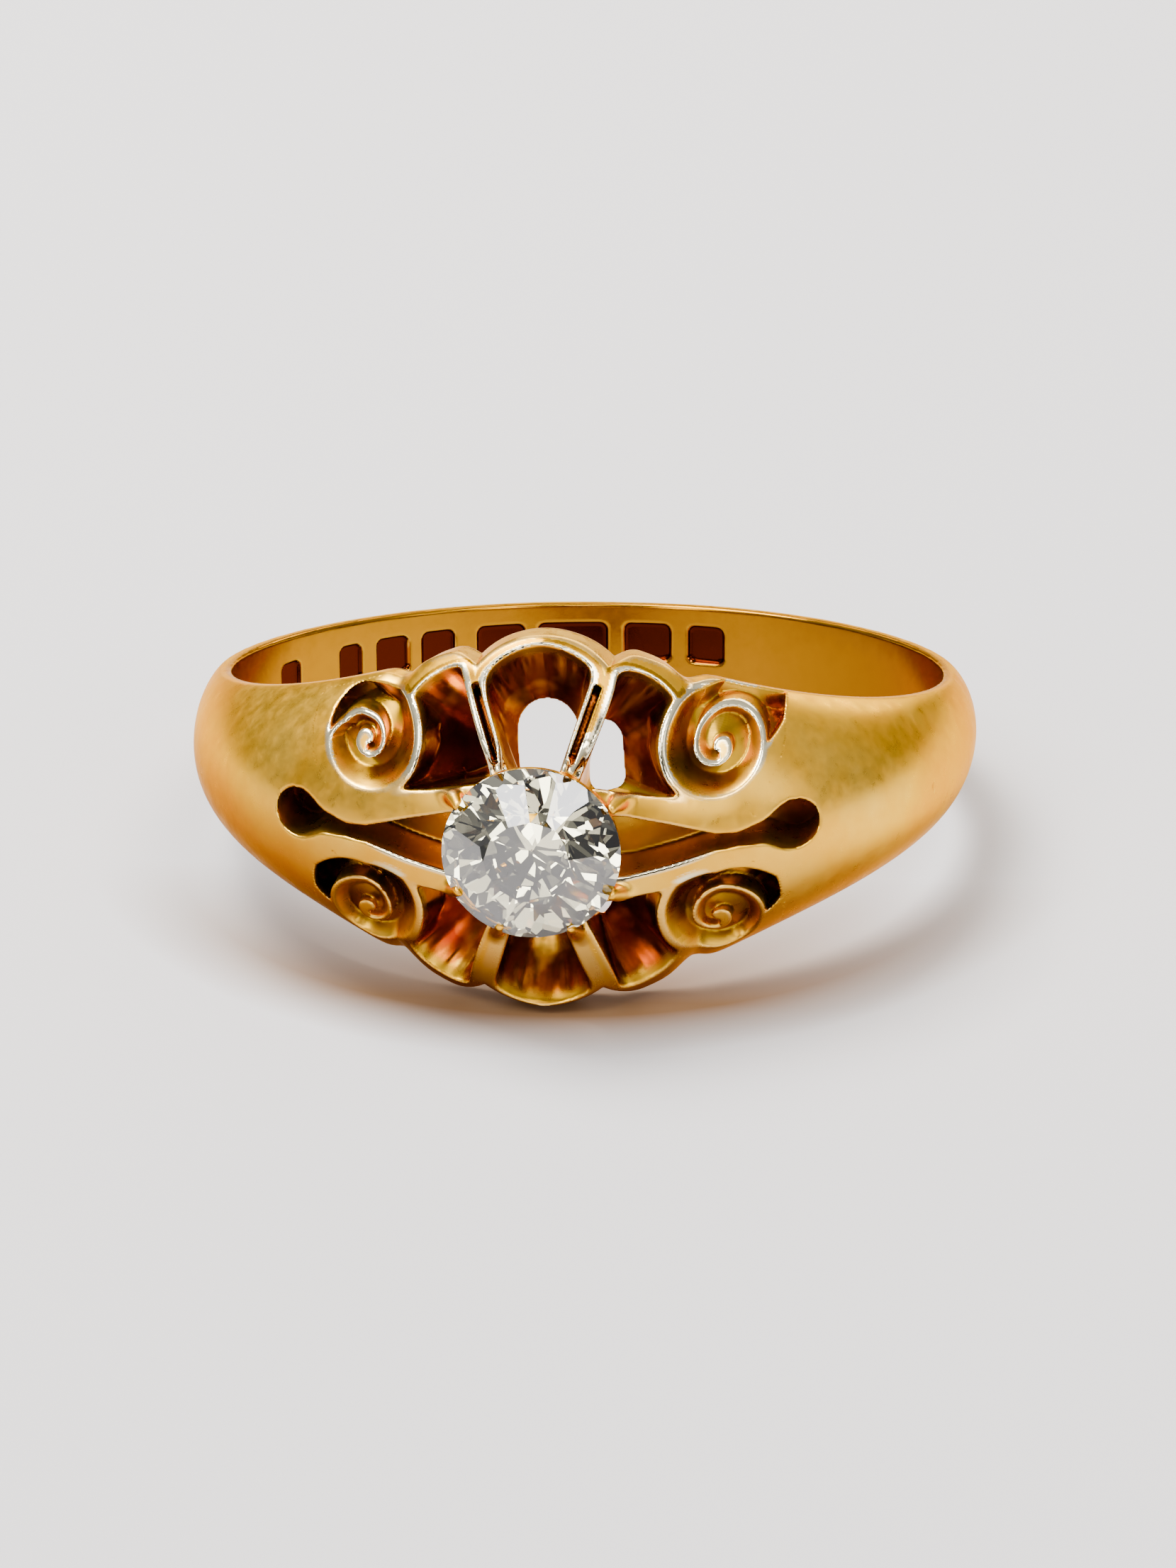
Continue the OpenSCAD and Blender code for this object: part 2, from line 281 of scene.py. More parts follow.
def scroll_carving(g, hooked):
    """Body left by the spiral groove: its outer flank slopes, its inner flank is steep."""
    crown, floor = crown_depth(g), g.r - RI - 0.35
    limit = np.interp(g.phi, LIMIT_A, BARE_R if hooked else LIMIT_R)
    ridge = (HOOK_A, HOOK_R) if hooked else (RIDGE_A, RIDGE_R)
    r0, r1 = np.interp(g.phi, *ridge), np.interp(g.phi + 360, *ridge)
    outside = g.rho > r0
    turn = np.where(outside, g.phi, g.phi + 360)
    inner = np.where(outside, g.rho - r0, g.rho - r1) - RIDGE_HALF
    outer = np.where(outside, limit - g.rho, r0 - g.rho) - RIDGE_HALF
    deep = np.interp(turn, VALLEY_A, VALLEY_DEEP)
    slope = ramp(turn, 150, 215)
    flank = (1 - slope) * outer + slope * (crown + outer * 1.5)
    return np.minimum(np.minimum(np.minimum(crown + deep, flank), inner), floor)


def gouges(g, turn, deep, how):
    """Uneven strokes of the graver down the wall of a hollow, from the skin inwards."""
    count, shift = how
    wave = np.cos(4 * count * turn + shift) + 0.6 * np.cos(7 * count * turn + 2.1 + shift)
    return GOUGE * wave * ramp(deep, 0.08, 0.6) * ramp(g.out, 0.15, 0.4)


def grown(g, how):
    """Value of a hollow that grows from the finger hole to the crown."""
    start, growth = how
    return start + growth * g.out


def middle_hollow(g, deep):
    """Arched hollow of the top or bottom petal, narrowing towards the finger."""
    cz, cr = grown(g, MIDDLE_Z), grown(g, MIDDLE_R)
    cr = cr + gouges(g, np.arctan2(g.x, g.mid - cz), deep, MIDDLE_GOUGES)
    arch = np.where(g.mid > cz, np.hypot(g.x, g.mid - cz), g.x) - cr
    lobe = np.hypot(g.x, g.mid - LOBE_TOP[0]) - LOBE_TOP[1] + RIM
    foot = (1 - ramp(g.out, 0.1, 0.5)) * (1 - np.clip(g.climb, 0, 1))
    margin = 0.17 + 0.05 * g.climb - 0.3 * foot
    return smax(smax(arch, g.rib + margin, 0.3), lobe, 0.1)


def corner_hollow(g, deep):
    """Hollow between a rib, the side lobe, a scroll and the scroll's arm.

    It is round at both ends, near by the stone and far by the rim, and tapers between them.
    The upper right one is wider by the stone, so that light shows through it from the front.
    """
    wide = g.right & (g.z > 0)
    near_x = np.where(wide, grown(g, NEAR_X_WIDE), grown(g, NEAR_X))
    near_z, near_r = np.where(wide, NEAR_Z_WIDE, NEAR_Z), grown(g, NEAR_R)
    far_x = np.where(wide, grown(g, FAR_X_WIDE), grown(g, FAR_X))
    far_z, far_r = grown(g, FAR_Z), grown(g, FAR_R)
    dx, dz = far_x - near_x, far_z - near_z
    along = ((g.x - near_x) * dx + (g.az - near_z) * dz) / (dx ** 2 + dz ** 2)
    along = np.clip(along, 0, 1)
    px, pz = g.x - near_x - along * dx, g.az - near_z - along * dz
    arch = np.hypot(px, pz) - (near_r + (far_r - near_r) * along)
    arch = arch - gouges(g, np.arctan2(px, pz), deep, CORNER_GOUGES)
    side = np.where(g.az > LOBE_SIDE[1], np.hypot(g.x - LOBE_SIDE[0], g.az - LOBE_SIDE[1]),
                    np.abs(g.x - LOBE_SIDE[0]))
    scroll = np.interp(g.phi, LIMIT_A, LIMIT_R) + 0.12 - g.rho + 0.25 * deep
    arm = np.interp(g.x, ARM_X, ARM_Z) - np.where(wide, 0.32, 0.1) * deep - g.az
    hollow = smax(arch, 0.19 + 0.07 * g.climb + 0.05 * deep - g.rib, 0.12)
    hollow = smax(smax(hollow, side - LOBE_SIDE[2] + RIM, 0.1), scroll, 0.12)
    return smax(hollow, arm, 0.15)


def side_slot(g):
    """Keyhole slot in the shoulder, wide by the stone and round at its outer end."""
    zs = np.abs(g.z - SLOT_LIFT * ramp(g.x, 4.2, SLOT_X))
    half = np.interp(g.x, SLOT_AT, SLOT_HALF).astype(np.float32)
    slot = smin(np.maximum(zs - half, g.x - SLOT_X + 0.02), np.hypot(g.x - SLOT_X, zs) - SLOT_R,
                0.2)
    return np.maximum(slot, RI + 0.65 - g.r)


def carving(g, deep):
    """Positive where gold is cut away: scrolls, hollows of the petals and side slots."""
    cut = np.where(g.right | (g.z < 0), scroll_carving(g, False), scroll_carving(g, True))
    cut = np.where((g.t > SCROLL_SPAN[0]) & (g.t < SCROLL_SPAN[1]), cut, -1.0)
    for hollow in (middle_hollow(g, deep), corner_hollow(g, deep)):
        cut = smax(cut, np.where(g.t < HOLLOW_TO, -hollow, -1.0), 0.05)
    return np.maximum(cut, -side_slot(g))


def lobed_rim(g):
    """Distance outside the lobes that end the head above and below."""
    lobes = np.minimum(np.hypot(g.x, g.mid - LOBE_TOP[0]) - LOBE_TOP[1],
                       np.hypot(g.x - LOBE_SIDE[0], g.az - LOBE_SIDE[1]) - LOBE_SIDE[2])
    # the body of the head, which joins the lobes
    lobes = np.minimum(lobes, np.maximum(g.x - 3.6, g.az - 3.1))
    return np.where(g.x < 3.3, lobes, -1.0)


def add_claws(f, g):
    """The claws that bend over the girdle, one for each rib and each scroll's arm."""
    foot, tip = STONE_R + 0.3, STONE_R - 0.04
    for direction, size in CLAWS:
        c, s = math.cos(math.radians(direction)), math.sin(math.radians(direction))
        claw = capsule((g.x, g.y, g.az), (foot * c, -CLAW_FOOT_Y, foot * s),
                       (tip * c, -(GIRDLE_Y + 0.22), tip * s), size + 0.1, size - 0.03)
        f = smin(f, claw, 0.15)
    return f


def rib_groove(g, skin):
    """Fine groove down the face of a rib's claw; positive where gold is cut away."""
    groove = np.minimum(skin + 0.4, 0.085 - np.abs(g.rib))
    groove = np.minimum(np.minimum(groove, (g.climb + 0.4) * 2.2), (0.74 - g.climb) * 2.2)
    return np.minimum(groove, np.hypot(g.x, g.az) - STONE_R - 0.1)


def stone_well(g):
    """Space for the stone and under it, open to the finger hole."""
    wide = np.interp(-g.y, WELL_Y, WELL_R)
    return np.maximum((np.hypot(g.x, g.az) - wide) * 0.9, 8.0 + g.y)


# paint of the gold: 0 on plain skin, painted shade up to 1 in the hollows and more in the groove
# and the marks, and painted highlight down to -1 on cut edges; the skin ends TOP_DEEP below the
# crown
GROOVE_SHADE_PAINT, MARK_SHADE_PAINT, SIDE_SHEEN_PAINT, LINE_SHADE_PAINT, TOP_DEEP = 1.7, 2.0, 0.38, 0.5, 0.09


def paint(g, deep, cut, groove, rim, carved):
    """Painted shade and highlights of the surface on the head and the carved part of the
    shoulders.
    """
    top, upper = deep < TOP_DEEP, g.z > 0
    reach = np.where((g.x < 3.0) & (g.az > 1.9), 0.19, 0.1)
    by_petal = (g.phi > 190) & (g.phi < 335) & (g.rho > 0.85) & (g.rho < 1.5)
    reach = np.where(by_petal, 0.2, reach)
    # painted highlight along the cut edges of the skin, strongest right at the edge
    edge = np.exp(-(np.minimum(np.maximum(cut, groove), 0) / reach) ** 2) * top
    # painted highlight: the edges by the slots, on the lower half and round the hooked scroll
    # shine less
    edge = edge * np.where(g.rho < 1.12, 1.0, 1 - 0.75 * ramp(g.x, 3.2, 4.2))
    edge = edge * (1 - 0.6 * ramp(g.az, 1.7, 1.3) * ramp(g.z, -0.1, 0.1))
    edge = edge * np.where((g.z < 0) & (g.az > 0.9), 0.35, 1.0)
    soft = ramp(g.phi, 88, 104) * ramp(g.phi, 222, 206) * ramp(g.rho, 0.75, 0.9)
    edge = edge * (1 - 0.85 * soft * ~g.right * upper)
    # the side face of the upper lobes is half polished: glossier, and lightened with painted
    # sheen
    face = ramp(np.maximum(rim, g.az - half_w(g.t)), -0.1, -0.03)
    face = face * ramp(g.z, 0, 1) * ramp(g.x, 3.8, 3.2)
    edge = np.maximum(edge, SIDE_SHEEN_PAINT * face * top)
    # painted shade in the hollows, darker the deeper they go; weaker in the slots and inside the
    # scrolls
    hollow = np.clip((deep - 0.05) * 2.5, 0, 1) * carved
    in_scroll = 0.3 + ramp(g.rho, 1.0, 1.15)
    in_petal = np.where(g.az < 1.0, 0.15, 0.9)
    hollow = hollow * np.where((g.rho < 1.6) & (g.x > 2.9), in_scroll, in_petal)
    # painted shade, nearly black, in the groove down a rib's claw
    hollow = np.where((groove > -0.04) & upper & (deep > 0.12), GROOVE_SHADE_PAINT, hollow)
    # painted shade: a dark line in the crease that parts the polished rim from the side face of
    # the upper lobes
    line = np.exp(-((cut + 0.24) / 0.04) ** 2) * (g.x < 3.2) * (g.az > 2.6) * top * upper
    hollow = np.where(line > 0.4, np.maximum(hollow, LINE_SHADE_PAINT * line), hollow)
    return np.where(hollow > 0.02, hollow, -edge).astype(np.float32)


def punched_back(g, skin):
    """Back of the hoop, with the blank marks sunk into its inner face and painted shade in them.
    """
    mark = np.full(np.broadcast(g.t, g.z).shape, 1.0, np.float32)
    for angle, wide in PUNCHES:
        u = np.abs((g.turn - angle) % 360 - 180) * math.radians(1) * RI
        box = np.maximum(u - wide / 2, g.az - PUNCH_HALF)
        corner = np.hypot(np.maximum(u - wide / 2 + PUNCH_CORNER, 0),
                          np.maximum(g.az - PUNCH_HALF + PUNCH_CORNER, 0)) - PUNCH_CORNER
        mark = np.minimum(mark, np.maximum(box, corner))
    punched = 1 - ramp(mark, -0.05, 0.02)
    f = smax(skin, RI + PUNCH_DEEP * punched - g.r, 0.05)
    # painted shade, nearly black, inside the marks
    mark_shade = MARK_SHADE_PAINT * punched * (g.r < RI + 0.3)
    return f, mark_shade.astype(np.float32) + np.zeros_like(f)


def field(g):
    """Signed field of the gold over a block, negative inside, and the paint of its surface."""
    skin = band_field(g.t, g.r, g.z)
    if float(g.t.max()) > BACK_FROM:
        return punched_back(g, skin)
    f = smax(skin, RI - g.r, 0.1)
    if float(g.t.min()) > CARVED_TO:
        return f, np.zeros_like(f)
    head, rim = g.t < 26, lobed_rim(g)
    plain = np.where(head, smax(f, rim, 0.1), f)
    skin = np.where(head, smax(skin, rim, 0.1), skin)
    deep = np.maximum(-skin, 0)
    f = add_claws(plain, g)
    groove = rib_groove(g, skin)
    f = np.where(g.z > 0, smax(f, groove, 0.04), f)
    cut = carving(g, deep)
    f = smax(f, cut, 0.06)
    f = np.maximum(f, -stone_well(g))
    return f, paint(g, deep, cut, groove, rim, f > plain + 0.02)


NAMES = ["shank", "shoulder_right", "shoulder_left", "petal_top", "petal_bottom",
         "petal_upper_right", "petal_upper_left", "petal_lower_right", "petal_lower_left",
         "rib_upper_right", "rib_upper_left", "rib_lower_right", "rib_lower_left",
         "scroll_upper_right", "scroll_upper_left", "scroll_lower_right", "scroll_lower_left"]
# number of the first piece of each kind
SHANK, SHOULDERS, PETALS, SIDE_PETALS, RIBS, SCROLLS = 1, 2, 4, 6, 10, 14
# where a scroll's arm ends and the band begins: distance from the ring's middle, and height
ARM_TO_X, ARM_TO_Z = [1.5, 2.5, 3.4, 4.4, 4.9], [1.4, 1.15, 1.0, 1.0, 0.5]


def label(g):
    """Number of the piece, from 1, that owns each point of the block."""
    shape = np.broadcast(g.t, g.r, g.z).shape
    right, upper = np.broadcast_to(g.right, shape), np.broadcast_to(g.z >= 0, shape)
    head = np.broadcast_to(g.t < HEAD_END, shape)
    corner = np.where(right, 0, 1) + np.where(upper, 0, 2)
    owner = np.where(right, SHOULDERS, SHOULDERS + 1)
    owner[np.broadcast_to(g.t > SHOULDER_END, shape)] = SHANK
    owner = np.where(head & (g.rib < 0), np.where(upper, PETALS, PETALS + 1), owner)
    owner = np.where(head & (g.rib >= 0), SIDE_PETALS + corner, owner)
    owner = np.where(head & (np.abs(g.rib) < RIB_HALF), RIBS + corner, owner)
    arm = (g.az < np.interp(g.x, ARM_TO_X, ARM_TO_Z)) & (g.x < ARM_TO_X[-1])
    scroll = ((g.rho < 1.42) | arm) & (g.r > RI + 0.7) & (g.t < SCROLL_SPAN[1]) & (g.x > 1.4)
    return np.where(scroll, SCROLLS + corner, owner).astype(np.int8)


# ------------------------------------------------------------- grid and meshing
# steps of the grid: in degrees on the head, beside it, on the plain band and on the marked
# back; in mm outwards and along the finger
STEP_HEAD, STEP_BESIDE, STEP_PLAIN, STEP_BACK = 0.2, 0.35, 0.8, 0.36
STEP_R, STEP_Z = 0.045, 0.042


def grid_axes():
    """Angles all round, radii from inside the finger hole to past the claws, and heights."""
    t = np.concatenate([np.arange(-36, 36, STEP_HEAD), np.arange(36, 50, STEP_BESIDE),
                        np.arange(50, 110, STEP_PLAIN), np.arange(110, 250, STEP_BACK),
                        np.arange(250, 310, STEP_PLAIN), np.arange(310, 324, STEP_BESIDE)])
    r = np.arange(RI - 0.14, CROWN_R + 0.55, STEP_R)
    z = np.arange(-HEAD_HALF - 0.16, HEAD_HALF + 0.17, STEP_Z)
    return t.astype(np.float32), r.astype(np.float32), z.astype(np.float32)


def build_grid():
    """Field, paint and owner at every point of the grid; the owner is 0 outside the gold."""
    t, r, z = grid_axes()
    f = np.empty((len(t), len(r), len(z)), np.float32)
    c = np.empty_like(f)
    lab = np.empty(f.shape, np.int8)
    step = 32
    for i in range(0, len(t), step):
        g = grid_block(t[i:i + step, None, None], r[None, :, None], z[None, None, :])
        f[i:i + step], c[i:i + step] = field(g)
        lab[i:i + step] = label(g)
    lab[f >= 0] = 0
    return t, r, z, f, c, lab


def cell_points(t, r, z, f, c, lab):
    """One point in every grid cell where the owner changes; the ring closes on itself in t.

    The point is the middle of the places where the cell's edges cross the gold's surface, or
    else of its edges that cross from piece to piece.
    """
    f, c, lab = [np.concatenate([a, a[:1]]) for a in (f, c, lab)]
    t = np.concatenate([t, t[:1] + 360])
    corner = [(i, j, k) for i in (0, 1) for j in (0, 1) for k in (0, 1)]
    n = [size - 1 for size in lab.shape]

    def part(a, o):
        return a[o[0]:o[0] + n[0], o[1]:o[1] + n[1], o[2]:o[2] + n[2]]

    first = part(lab, (0, 0, 0))
    mixed = np.zeros(first.shape, bool)
    for o in corner[1:]:
        mixed |= part(lab, o) != first
    cells = np.argwhere(mixed)
    ends = [cells + np.array(o) for o in corner]
    fv, lv, cv = [np.stack([a[q[:, 0], q[:, 1], q[:, 2]] for q in ends], 1) for a in (f, lab, c)]
    # a cell's paint is its most carved corner's, or else its brightest edge's
    cv = np.where(cv.max(1) > 0.02, cv.max(1), cv.min(1))
    skin, skin_n = np.zeros((len(cells), 3)), np.zeros(len(cells))
    seam, seam_n = np.zeros((len(cells), 3)), np.zeros(len(cells))
    for a in range(8):
        for b in range(a + 1, 8):
            axis = [i for i in range(3) if corner[a][i] != corner[b][i]]
            if len(axis) != 1:
                continue
            fa, fb = fv[:, a], fv[:, b]
            cross = (fa < 0) != (fb < 0)
            s = np.where(cross, fa / np.where(cross, fa - fb, 1), 0.5)
            at = np.array(corner[a])[None, :] + s[:, None] * (np.array(corner[b]) - corner[a])
            skin[cross] += at[cross]
            skin_n += cross
            inner = ~cross & (lv[:, a] != lv[:, b])
            seam[inner] += at[inner]
            seam_n += inner
    use = skin_n > 0
    at = np.where(use[:, None], skin / np.maximum(skin_n, 1)[:, None],
                  seam / np.maximum(seam_n, 1)[:, None])
    index = cells + at
    tt, rr, zz = [np.interp(index[:, i], np.arange(len(a)), a) for i, a in enumerate((t, r, z))]
    rad = np.radians(tt)
    points = np.stack([rr * np.sin(rad), -rr * np.cos(rad), zz], 1)
    number = np.full(mixed.shape, -1, np.int32)
    number[mixed] = np.arange(len(cells))
    return points, cv, number, lab


def faces_by_piece(number, lab):
    """Quads around every grid edge whose ends belong to different pieces."""
    quads = {k: [] for k in range(1, len(NAMES) + 1)}
    turns = number.shape[0]
    for axis in range(3):
        a = [slice(None)] * 3
        b = [slice(None)] * 3
        a[axis], b[axis] = slice(0, -1), slice(1, None)
        la, lb = lab[tuple(a)], lab[tuple(b)]
        edges = np.argwhere(la != lb)
        o1, o2 = [i for i in range(3) if i != axis]
        keep = np.ones(len(edges), bool)
        for o in (o1, o2):
            if o:
                keep &= (edges[:, o] > 0) & (edges[:, o] < number.shape[o])
            else:
                keep &= edges[:, 0] < turns
        edges = edges[keep]
        va = la[edges[:, 0], edges[:, 1], edges[:, 2]]
        vb = lb[edges[:, 0], edges[:, 1], edges[:, 2]]
        ring = []
        for d1, d2 in ((0, 0), (-1, 0), (-1, -1), (0, -1)):
            q = edges.copy()
            q[:, o1] += d1
            q[:, o2] += d2
            q[:, 0] %= turns
            ring.append(number[q[:, 0], q[:, 1], q[:, 2]])
        quad = np.stack(ring, 1)
        if axis == 1:
            quad = quad[:, ::-1]
        for k in quads:
            quads[k].append(quad[va == k])
            quads[k].append(quad[vb == k][:, ::-1])
    return {k: np.concatenate(v) for k, v in quads.items()}


def add_attribute(me, name, values):
    layer = me.attributes.new(name, "FLOAT", "POINT")
    layer.data.foreach_set("value", values.astype(np.float32))


def add_mesh(name, points, quads, carved=None):
    """Mesh object in the ring as it lies, from points in ring millimetres."""
    used, inverse = np.unique(quads, return_inverse=True)
    quads = inverse.reshape(quads.shape)
    me = bpy.data.meshes.new(name)
    lying = (points[used] @ np.array(LAY.to_3x3()).T) * MM
    me.from_pydata(lying.tolist(), [], quads.tolist())
    if carved is not None:
        inside = (RI + 0.2 - np.hypot(points[used, 0], points[used, 1])) / 0.1
        add_attribute(me, "carved", carved[used])
        add_attribute(me, "inside", np.clip(inside, 0, 1))
    me.validate()
    me.shade_smooth()
    ob = bpy.data.objects.new(name, me)
    bpy.context.scene.collection.objects.link(ob)
    return ob


# ------------------------------------------------------------------- materials
# base colours; the view transform pales them, so they are deeper than they look
SKIN_GOLD, SKIN_WARM = (0.93, 0.46, 0.012), (1.0, 0.59, 0.06)
EDGE_HIGHLIGHT_GOLD, HOLLOW_SHADE_GOLD = (1.0, 0.90, 0.60), (0.36, 0.095, 0.003)
INSIDE_SHADE_GOLD, GRAZE_TINT = (0.42, 0.185, 0.002), (0.9, 0.55, 0.2)
HOLLOW_GLINT_GOLD, MARK_SHADE_GOLD = (0.90, 0.50, 0.03), (0.06, 0.006, 0.0005)
OLIVE_SHADE_GOLD = (0.47, 0.25, 0.004)
CLOTH, CLOTH_SHADOW_GLOW = (0.66, 0.635, 0.628), (0.22, 0.105, 0.028)
DIAMOND, DIAMOND_IOR = (0.98, 0.93, 0.62), 2.417
# painted shade: directions of the faces that see only the dim side of the table, down and down
# to the left, and the tints that paint them darker
DIM_WAY, DIM_SHADE_TINT = (-0.35, -0.45, -0.82), (0.34, 0.23, 0.07)
LEFT_WAY, LEFT_SHADE_TINT = (-0.75, -0.37, -0.55), (0.45, 0.33, 0.16)
BUMP_STRENGTH, BUMP_DEEP = 0.1, 0.00002


def new_material(name):
    mat = bpy.data.materials.new(name)
    mat.use_nodes = True
    nt = mat.node_tree
    return mat, nt, nt.nodes["Principled BSDF"]


def ramp_node(nt, source, low, high, to_low, to_high):
    """Value that runs from to_low to to_high while the source runs from low to high."""
    node = nt.nodes.new("ShaderNodeMapRange")
    node.inputs["From Min"].default_value = low
    node.inputs["From Max"].default_value = high
    node.inputs["To Min"].default_value = to_low
    node.inputs["To Max"].default_value = to_high
    nt.links.new(source, node.inputs["Value"])
    return node.outputs["Result"]


def mix_node(nt, kind, factor, a, b):
    """Mix of two colours, each a socket or a tuple, by a socket."""
    node = nt.nodes.new("ShaderNodeMix")
    node.data_type = "RGBA"
    node.blend_type = kind
    nt.links.new(factor, node.inputs["Factor"])
    for name, value in (("A", a), ("B", b)):
        socket = [i for i in node.inputs if i.name == name and i.type == "RGBA"][0]
        if isinstance(value, tuple):
            socket.default_value = value + (1.0,)
        else:
            nt.links.new(value, socket)
    return [o for o in node.outputs if o.type == "RGBA"][0]


def noise_node(nt, vector, scale, detail, rough=0.5):
    node = nt.nodes.new("ShaderNodeTexNoise")
    node.inputs["Scale"].default_value = scale
    node.inputs["Detail"].default_value = detail
    node.inputs["Roughness"].default_value = rough
    nt.links.new(vector, node.inputs["Vector"])
    return node.outputs["Fac"]


def math_node(nt, operation, a, b):
    """Sum or product of two sockets."""
    node = nt.nodes.new("ShaderNodeMath")
    node.operation = operation
    nt.links.new(a, node.inputs[0])
    nt.links.new(b, node.inputs[1])
    return node.outputs["Value"]


def attribute_node(nt, name):
    node = nt.nodes.new("ShaderNodeAttribute")
    node.attribute_name = name
    return node.outputs["Fac"]


def toward(nt, coord, way):
    """How far a direction or place lies the given way; for directions nearly the cosine."""
    dot = nt.nodes.new("ShaderNodeVectorMath")
    dot.operation = "DOT_PRODUCT"
    nt.links.new(coord, dot.inputs[0])
    dot.inputs[1].default_value = way
    return dot.outputs["Value"]


def gold_colour(nt, coord, carved, inside):
    """Skin, painted shade on the finger side, painted highlights on cut edges, painted shade in
    valleys, hollows and marks, then painted shade on faces turned down.
    """
    patch = ramp_node(nt, noise_node(nt, coord, 420.0, 4.0, 0.6), 0.35, 0.65, 0.0, 1.0)
    colour = mix_node(nt, "MIX", patch, SKIN_GOLD, SKIN_WARM)
    # painted shade on the finger side of the hoop
    colour = mix_node(nt, "MIX", inside, colour, INSIDE_SHADE_GOLD)
    # painted highlight on cut edges, which are also glossier
    edge = ramp_node(nt, carved, -0.25, -0.85, 0.0, 1.0)
    colour = mix_node(nt, "MIX", edge, colour, EDGE_HIGHLIGHT_GOLD)
    # painted shade, olive, wherever the gold is carved; the deep hollows are painted darker
    # still
    shallow_shade = ramp_node(nt, carved, 0.02, 0.2, 0.0, 1.0)
    colour = mix_node(nt, "MIX", shallow_shade, colour, OLIVE_SHADE_GOLD)
    # painted glints: brighter amber streaks over the painted shade of each hollow
    painted_glint = ramp_node(nt, noise_node(nt, coord, 1100.0, 2.0), 0.54, 0.66, 0.0, 1.0)
    deep = mix_node(nt, "MIX", painted_glint, HOLLOW_SHADE_GOLD, HOLLOW_GLINT_GOLD)
    # painted shade, dark red-brown, where the hollows are deepest
    colour = mix_node(nt, "MIX", ramp_node(nt, carved, 0.3, 0.8, 0.0, 1.0), colour, deep)
    # painted shade, nearly black, in the rib grooves and the blank marks
    mark = ramp_node(nt, carved, 1.1, 1.9, 0.0, 1.0)
    colour = mix_node(nt, "MIX", mark, colour, MARK_SHADE_GOLD)
    # painted shade on faces turned down, and more on faces turned down to the left
    facing = nt.nodes.new("ShaderNodeNewGeometry").outputs["Normal"]
    dim = ramp_node(nt, toward(nt, facing, DIM_WAY), 0.0, 0.9, 0.0, 0.9)
    colour = mix_node(nt, "MULTIPLY", dim, colour, DIM_SHADE_TINT)
    left = ramp_node(nt, toward(nt, facing, LEFT_WAY), 0.55, 0.95, 0.0, 0.85)
    return mix_node(nt, "MULTIPLY", left, colour, LEFT_SHADE_TINT)


def gold_roughness(nt, grain, carved, inside):
    """Worn skin, with glossier edges, hollows and finger side."""
    edge = ramp_node(nt, carved, -0.25, -0.85, 1.0, 0.45)
    cut = ramp_node(nt, carved, 0.3, 0.8, 1.0, 0.62)
    finger_side = ramp_node(nt, inside, 0.0, 1.0, 1.0, 0.62)
    rough = ramp_node(nt, grain, 0.3, 0.7, 0.25, 0.40)
    for gloss in (edge, cut, finger_side):
        rough = math_node(nt, "MULTIPLY", rough, gloss)
    return rough


def gold_material():
    mat, nt, bsdf = new_material("gold")
    bsdf.inputs["Metallic"].default_value = 1.0
    bsdf.inputs["Specular Tint"].default_value = GRAZE_TINT + (1.0,)
    coord = nt.nodes.new("ShaderNodeTexCoord").outputs["Object"]
    carved, inside = attribute_node(nt, "carved"), attribute_node(nt, "inside")
    grain = noise_node(nt, coord, 2600.0, 4.0, 0.65)
    nt.links.new(gold_colour(nt, coord, carved, inside), bsdf.inputs["Base Color"])
    nt.links.new(gold_roughness(nt, grain, carved, inside), bsdf.inputs["Roughness"])
    bump = nt.nodes.new("ShaderNodeBump")
    bump.inputs["Strength"].default_value = BUMP_STRENGTH
    bump.inputs["Distance"].default_value = BUMP_DEEP
    nt.links.new(grain, bump.inputs["Height"])
    nt.links.new(bump.outputs["Normal"], bsdf.inputs["Normal"])
    return mat


def stone_material():
    mat, _, bsdf = new_material("diamond")
    bsdf.inputs["Base Color"].default_value = DIAMOND + (1.0,)
    bsdf.inputs["Roughness"].default_value = 0.0
    bsdf.inputs["IOR"].default_value = DIAMOND_IOR
    bsdf.inputs["Transmission Weight"].default_value = 1.0
    return mat


def cloth_material():
    """Pale cloth; under the head it is painted with a dark brown shadow, warmed as if by the
    light that the gold throws back.

    The distances are metres from the ring's middle.
    """
    mat, nt, bsdf = new_material("backdrop")
    coord = nt.nodes.new("ShaderNodeTexCoord").outputs["Object"]
    flat = nt.nodes.new("ShaderNodeVectorMath")
    flat.operation = "MULTIPLY"
    nt.links.new(coord, flat.inputs[0])
    flat.inputs[1].default_value = (1.0, 1.0, 0.0)
    far = nt.nodes.new("ShaderNodeVectorMath")
    far.operation = "LENGTH"
    nt.links.new(flat.outputs["Vector"], far.inputs[0])
    front = ramp_node(nt, toward(nt, coord, (0.0, -1.0, 0.0)), 0.0030, 0.0098, 0.0, 0.97)
    near = ramp_node(nt, far.outputs["Value"], 0.0106, 0.0126, 1.0, 0.0)
    # painted shadow under the front of the head, brown like light thrown back by the gold
    shadow_glow = math_node(nt, "MULTIPLY", front, near)
    nt.links.new(mix_node(nt, "MIX", shadow_glow, CLOTH, CLOTH_SHADOW_GLOW), bsdf.inputs["Base Color"])
    bsdf.inputs["Roughness"].default_value = 0.85
    return mat


# ----------------------------------------------------------------- gold pieces
def make_gold(mat):
    t, r, z, f, c, lab = build_grid()
    points, carved, number, lab = cell_points(t, r, z, f, c, lab)
    quads = faces_by_piece(number, lab)
    for k, name in enumerate(NAMES, 1):
        ob = add_mesh(name + "_gold", points, quads[k], carved)
        ob.data.materials.append(mat)
        ob.data.set_sharp_from_angle(angle=math.radians(60))
        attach(ob, "root")
        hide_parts(name)


